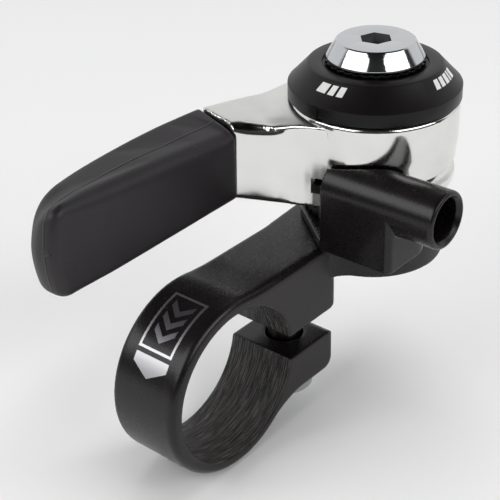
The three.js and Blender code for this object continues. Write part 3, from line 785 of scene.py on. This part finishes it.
# The window for the cable's head is cut last, so it stays crisp.
carve(lever, block((18.6, -5.2, 20.1), (23.4, -2.5, 22.4)))
fitted(lever, "lever_forging", "lever", "polished_alloy", polished, "shift_lever", crisp=40)

# %% [markdown]
# ## The grip
# The grip is moulded in two half moulds that meet along its middle, so a fine raised line runs round
# it, and a small round scar on the tip shows where the material came in. Its tip is rounded every way.

# %% Grip
GRIP_ROOT = 14                   # X where the grip meets the lever
grip_view = outline([(LEVER_END[0] - 0.06, 6.2, 0), (-18.4, 6.3, 1.5), (-18.6, 10.0, 1.2),
                     (-16.9, 12.4, 2.2), (0, 15.0, 9), (LEVER_END[1] - 0.06, 14.4, 0)])


def grip_floor(x, y):
    """The underside, which drops slowly toward the tip."""
    return 18.6 - 0.024 * (GRIP_ROOT - x)


def grip_top(x, y):
    """The top rises slowly toward the tip. Its far edge stands higher at the lever and lower at the tip."""
    return 28.75 + 0.051 * (GRIP_ROOT - x) + (y - 6.6) * (0.15 - 0.007 * (GRIP_ROOT - x))


def grip_rim(middle, outward, upper):
    """Wide along the near top edge, narrow along the far edge, below and at the lever. At the tip the
    widths run together, because a jump between two short edges would throw out a spur."""
    tip = ramped(-middle.x, 9, 17)
    if outward.x > 0.7:
        return 0.1
    if outward.y < -0.5:
        return 0.64 - 0.2 * tip if upper else 0.18 + 0.2 * tip
    if outward.y < 0.5:
        return 0.44 if upper else 0.38
    return 0.2 + (0.24 if upper else 0.18) * tip


def moulded(x, y, z):
    """Let the top fall away toward the tip, and the end bulge."""
    drop = 2.7 * ramped(y, 7.0, 11.8) * (max(0, -12 - x) / 6.5) ** 2 * ramped(z, 21, 30)
    bulge = 0.9 * ramped(-x, 13.5, 18) * (1 - ((z - 23.8) / 5.6) ** 2)
    return -bulge, 0, -drop


shape = raised(parted(grip_view, (1, 0, 0), -17.5, 13, 0.9), *DRAWN)
grip = rimmed(sloped(shape, *DRAWN, grip_floor, grip_top), 3.1, grip_rim)
tang_low, tang_high = (Vector(c) for c in TANG)
carve(grip, block(tang_low - Vector((0.3, 0.3, 0.3)), tang_high + Vector((0, 0.3, 0.3))))
pressed(softened(grip, 0.22, 6), moulded)
fitted(grip, "rubber_grip", "lever", "grip_rubber", rubber, "grip")

# %% [markdown]
# ## Cover, washer and bolt
# These are turned parts, so each is a profile spun about the pivot. They keep crisp edges with only a
# small break, and a boolean cuts the hexagon socket and the small notch in the cover's rim.

# %% Cover
COVER_R, COVER_LOW, COVER_EDGE, COVER_TOP = 12.1, 31.0, 32.95, 35.5
LIP, SHOULDER_R = 35.8, 9.5      # the flat top, and where the cone meets it
COVER_HOLE, COVER_SEAT = 3.85, 7.3
cover = as_object(turned([
    (COVER_HOLE, COVER_TOP - 1.4), (8.2, COVER_TOP - 1.4), (10.6, COVER_EDGE - 0.75), (10.6, COVER_LOW + 0.9),
    (8.9, COVER_LOW + 0.9), (8.9, COVER_LOW), (COVER_R, COVER_LOW), (COVER_R, COVER_EDGE - 0.1),
    (COVER_R - 0.15, COVER_EDGE), (SHOULDER_R, LIP - 0.25), (SHOULDER_R - 0.15, LIP - 0.08),
    (SHOULDER_R - 0.4, LIP), (7.4, LIP), (COVER_SEAT, LIP - 0.1), (COVER_SEAT, COVER_TOP),
    (COVER_HOLE, COVER_TOP)], steps=240))
notch = block((-0.7, -0.45, COVER_LOW - 1), (0.4, 0.45, 32.4))
carve(cover, moved(notch, Matrix.Translation((*polar(COVER_R, 177.5), 0))))
eased(cover, 0.09, 3, 20)
fitted(cover, "cone_cover", "base", "black_plastic", black_cover, "top_cover", crisp=28)

# %% Toothed washer and knurled ring
def toothed(teeth, inner, outer, hole, low, high):
    """A ring with saw teeth round its rim."""
    bm = bmesh.new()
    bmesh.ops.create_circle(bm, cap_ends=True, segments=teeth * 2, radius=outer)
    for v in list(bm.verts)[::2]:
        v.co.xy *= inner / outer
    bmesh.ops.translate(bm, verts=bm.verts, vec=(*PIVOT, 0))
    thing = as_object(raised(bm, low, high))
    return carve(thing, disc(hole, low - 2, high + 2))


washer = eased(toothed(30, 6.5, 6.95, 3.9, COVER_TOP + 0.15, COVER_TOP + 0.6), 0.05, 2)
fitted(washer, "toothed_washer", "base", "dark_steel", blackened, "lock_washer", crisp=30)
knurl = eased(toothed(40, 9.4, 9.95, 8.5, PLATE_TOP + 0.3, NECK_LOW - 0.3), 0.06, 2)
fitted(knurl, "toothed_ring", "base", "black_plastic", toothed_plastic, "knurled_ring", crisp=30)

# %% Pivot bolt
HEAD_R, HEX_R = 6.78, 2.31
under = COVER_TOP + 0.75         # the underside of the head
bolt = as_object(turned([
    (0, 8.0), (2.2, 8.0), (2.5, 8.4), (2.5, under), (6.55, under), (HEAD_R, under + 0.2),
    (HEAD_R, under + 0.45), (5.5, under + 2.55), (5.3, under + 2.68), (5.1, under + 2.7),
    (0, under + 2.7)], open_ends=True, steps=240))
hexagon = disc(HEX_R, under + 0.5, under + 4, (0, 0), 6)
moved(hexagon, Matrix.Translation((*PIVOT, 0)) @ Matrix.Rotation(math.radians(41 - 90), 4, "Z"))
carve(bolt, hexagon)
drill = turned([(0, under - 0.4), (1.9, under + 0.51), (0, under + 0.51)], open_ends=True, steps=96)
carve(bolt, drill)
eased(bolt, 0.09, 3, 25)
fitted(bolt, "pivot_bolt_chromed", "base", "chrome_plate", chrome, "pivot_bolt", crisp=28)
# The socket is given darker dull steel as painted shade in the recess.
bolt.data.materials.append(bare)
for face in bolt.data.polygons:
    x, y, z = face.center / MM
    in_socket = under - 0.5 < z < under + 2.6 and math.hypot(x - PIVOT[0], y - PIVOT[1]) < 2.4
    face.material_index = int(in_socket)

# %% Clamp bolt and its washer
screw = as_object(turned([
    (0, -10.7), (3.75, -10.7), (4.1, -10.4), (4.1, -7.3), (2.4, -7.3), (2.4, 9.4), (1.9, 9.9), (0, 9.9)],
    (BOLT_X, 0), 128, open_ends=True))
carve(screw, disc(2.3, -12, -8.3, (BOLT_X, 0), 6))
eased(screw, 0.12, 3)
fitted(screw, "clamp_screw", "base", "plain_steel", zinc, "clamp_bolt", crisp=28)
# The shank inside the clamp is given dark steel as painted shade from the slit, and only the head is bright.
screw.data.materials.append(blackened)
for face in screw.data.polygons:
    face.material_index = int(face.center.z > -7.2 * MM)
flat_ring = as_object(turned([(2.75, -7.05), (4.3, -7.05), (4.3, -6.65), (2.75, -6.65)], (BOLT_X, 0), 128))
eased(flat_ring, 0.06, 2)
fitted(flat_ring, "clamp_screw_washer", "base", "plain_steel", zinc, "clamp_washer", crisp=28)

# %% [markdown]
# ## Printed marks
# The clamp carries a framed badge and an arrow head in silver ink, and the cover short white marks.
# They stand for the real print without its letters. Each is drawn flat, given the thickness of an ink
# film, and rolled onto the curved surface.

# %% Flat marks
INK = 0.035                      # half the drawn thickness of the ink film


def film(shapes, step=0.35):
    """Flat polygons made into thin solids, cut into narrow strips along X so that they can be rolled."""
    bm = bmesh.new()
    for corners in shapes:
        bm.faces.new([bm.verts.new((x, y, 0)) for x, y in corners])
    low, high = (f(v.co.x for v in bm.verts) for f in (min, max))
    for i in range(1, math.ceil((high - low) / step)):
        bmesh.ops.bisect_plane(bm, geom=bm.verts[:] + bm.edges[:] + bm.faces[:],
                               plane_co=(low + i * step, 0, 0), plane_no=(1, 0, 0))
    return raised(bm, -INK, INK)


def frame_shapes(x0, x1, y0, y1, line):
    """Four bars that make a frame."""
    return [[(x0, y0), (x1, y0), (x1, y0 + line), (x0, y0 + line)],
            [(x0, y1 - line), (x1, y1 - line), (x1, y1), (x0, y1)],
            [(x0, y0 + line), (x0 + line, y0 + line), (x0 + line, y1 - line), (x0, y1 - line)],
            [(x1 - line, y0 + line), (x1, y0 + line), (x1, y1 - line), (x1 - line, y1 - line)]]


ROLL_R = RING_R + 0.005
BADGE_START = math.radians(100.6)


def rolled(bm):
    """Roll a flat mark round the clamp ring: X runs round the ring, Y along the bar, Z outwards."""
    for v in bm.verts:
        a, r = BADGE_START + v.co.x / RING_R, ROLL_R + v.co.z
        v.co = (r * math.cos(a), v.co.y, r * math.sin(a))
    return bm


badge = film(frame_shapes(0, 8.8, -2.8, 2.92, 0.36))
fitted(as_object(rolled(badge)), "badge_frame", "base", None, silver_ink, crisp=30)
chevrons = [[(x, -1.7), (x + 1.5, 0.06), (x, 1.82), (x + 1.0, 1.82), (x + 2.5, 0.06), (x + 1.0, -1.7)]
            for x in (1.1, 3.1, 5.1)]
fitted(as_object(rolled(film(chevrons))), "badge_chevrons", "base", None, grey_ink, crisp=30)
arrow = film([[(9.45, -2.85), (10.75, -2.85), (12.4, 0.03), (10.75, 2.85), (9.45, 2.85)]])
fitted(as_object(rolled(arrow)), "badge_arrow", "base", None, silver_ink, crisp=30)


# %% Marks on the cover's cone
MARK_R = 10.2                    # how far the middle of a mark is from the pivot


def coned(bm, azimuth):
    """Lay a flat mark on the cover's cone: X runs round it, Y up the slope from its middle."""
    rise = math.atan2(LIP - 0.25 - COVER_EDGE, COVER_R - 0.15 - SHOULDER_R)
    for v in bm.verts:
        radius = MARK_R - v.co.y * math.cos(rise) + v.co.z * math.sin(rise)
        a = math.radians(azimuth) + v.co.x / MARK_R
        height = (COVER_EDGE + (COVER_R - 0.15 - MARK_R) * math.tan(rise) + v.co.y * math.sin(rise)
                  + (v.co.z + 0.005) * math.cos(rise))
        v.co = (PIVOT[0] + radius * math.cos(a), PIVOT[1] + radius * math.sin(a), height)
    return bm


def bars(widths, gap, tall, lean):
    """A row of leaning bars, each with its own width."""
    row, x = [], 0.0
    for wide in widths:
        right = x + wide
        row.append([(x, -tall / 2), (right, -tall / 2), (right + lean, tall / 2), (x + lean, tall / 2)])
        x += wide + gap
    return row


fitted(as_object(coned(film(bars((1.5, 0.9, 0.9), 0.4, 1.45, 0.35)), 168)), "cover_mark_left", "base",
       None, white_ink, crisp=30)
fitted(as_object(coned(film(bars((0.9, 0.9, 0.9, 0.5, 0.9), 0.35, 1.4, 0.3)), -95)), "cover_mark_right",
       "base", None, white_ink, crisp=30)

# %% [markdown]
# ## Parts inside
# The parts inside the hub keep their CAD shapes and get real finishes.

# %% Finishes for the CAD parts that stay
INSIDE = {zinc: ["dowel_pin_1", "dowel_pin_2", "pivot_post", "assist_spring", "index_pin_1", "index_pin_2",
                 "click_spring", "cone_washer_lower", "cone_washer_upper"],
          acetal: ["thrust_washer", "pivot_bushing", "friction_washer"],
          blackened: ["index_ring", "ball_carrier"],
          chrome: ["detent_ball_1", "detent_ball_2"]}
for material, names in INSIDE.items():
    for name in names:
        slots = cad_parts[name].data.materials
        slots.clear()
        slots.append(material)
print("CAD parts that stay:", sum(len(names) for names in INSIDE.values()))
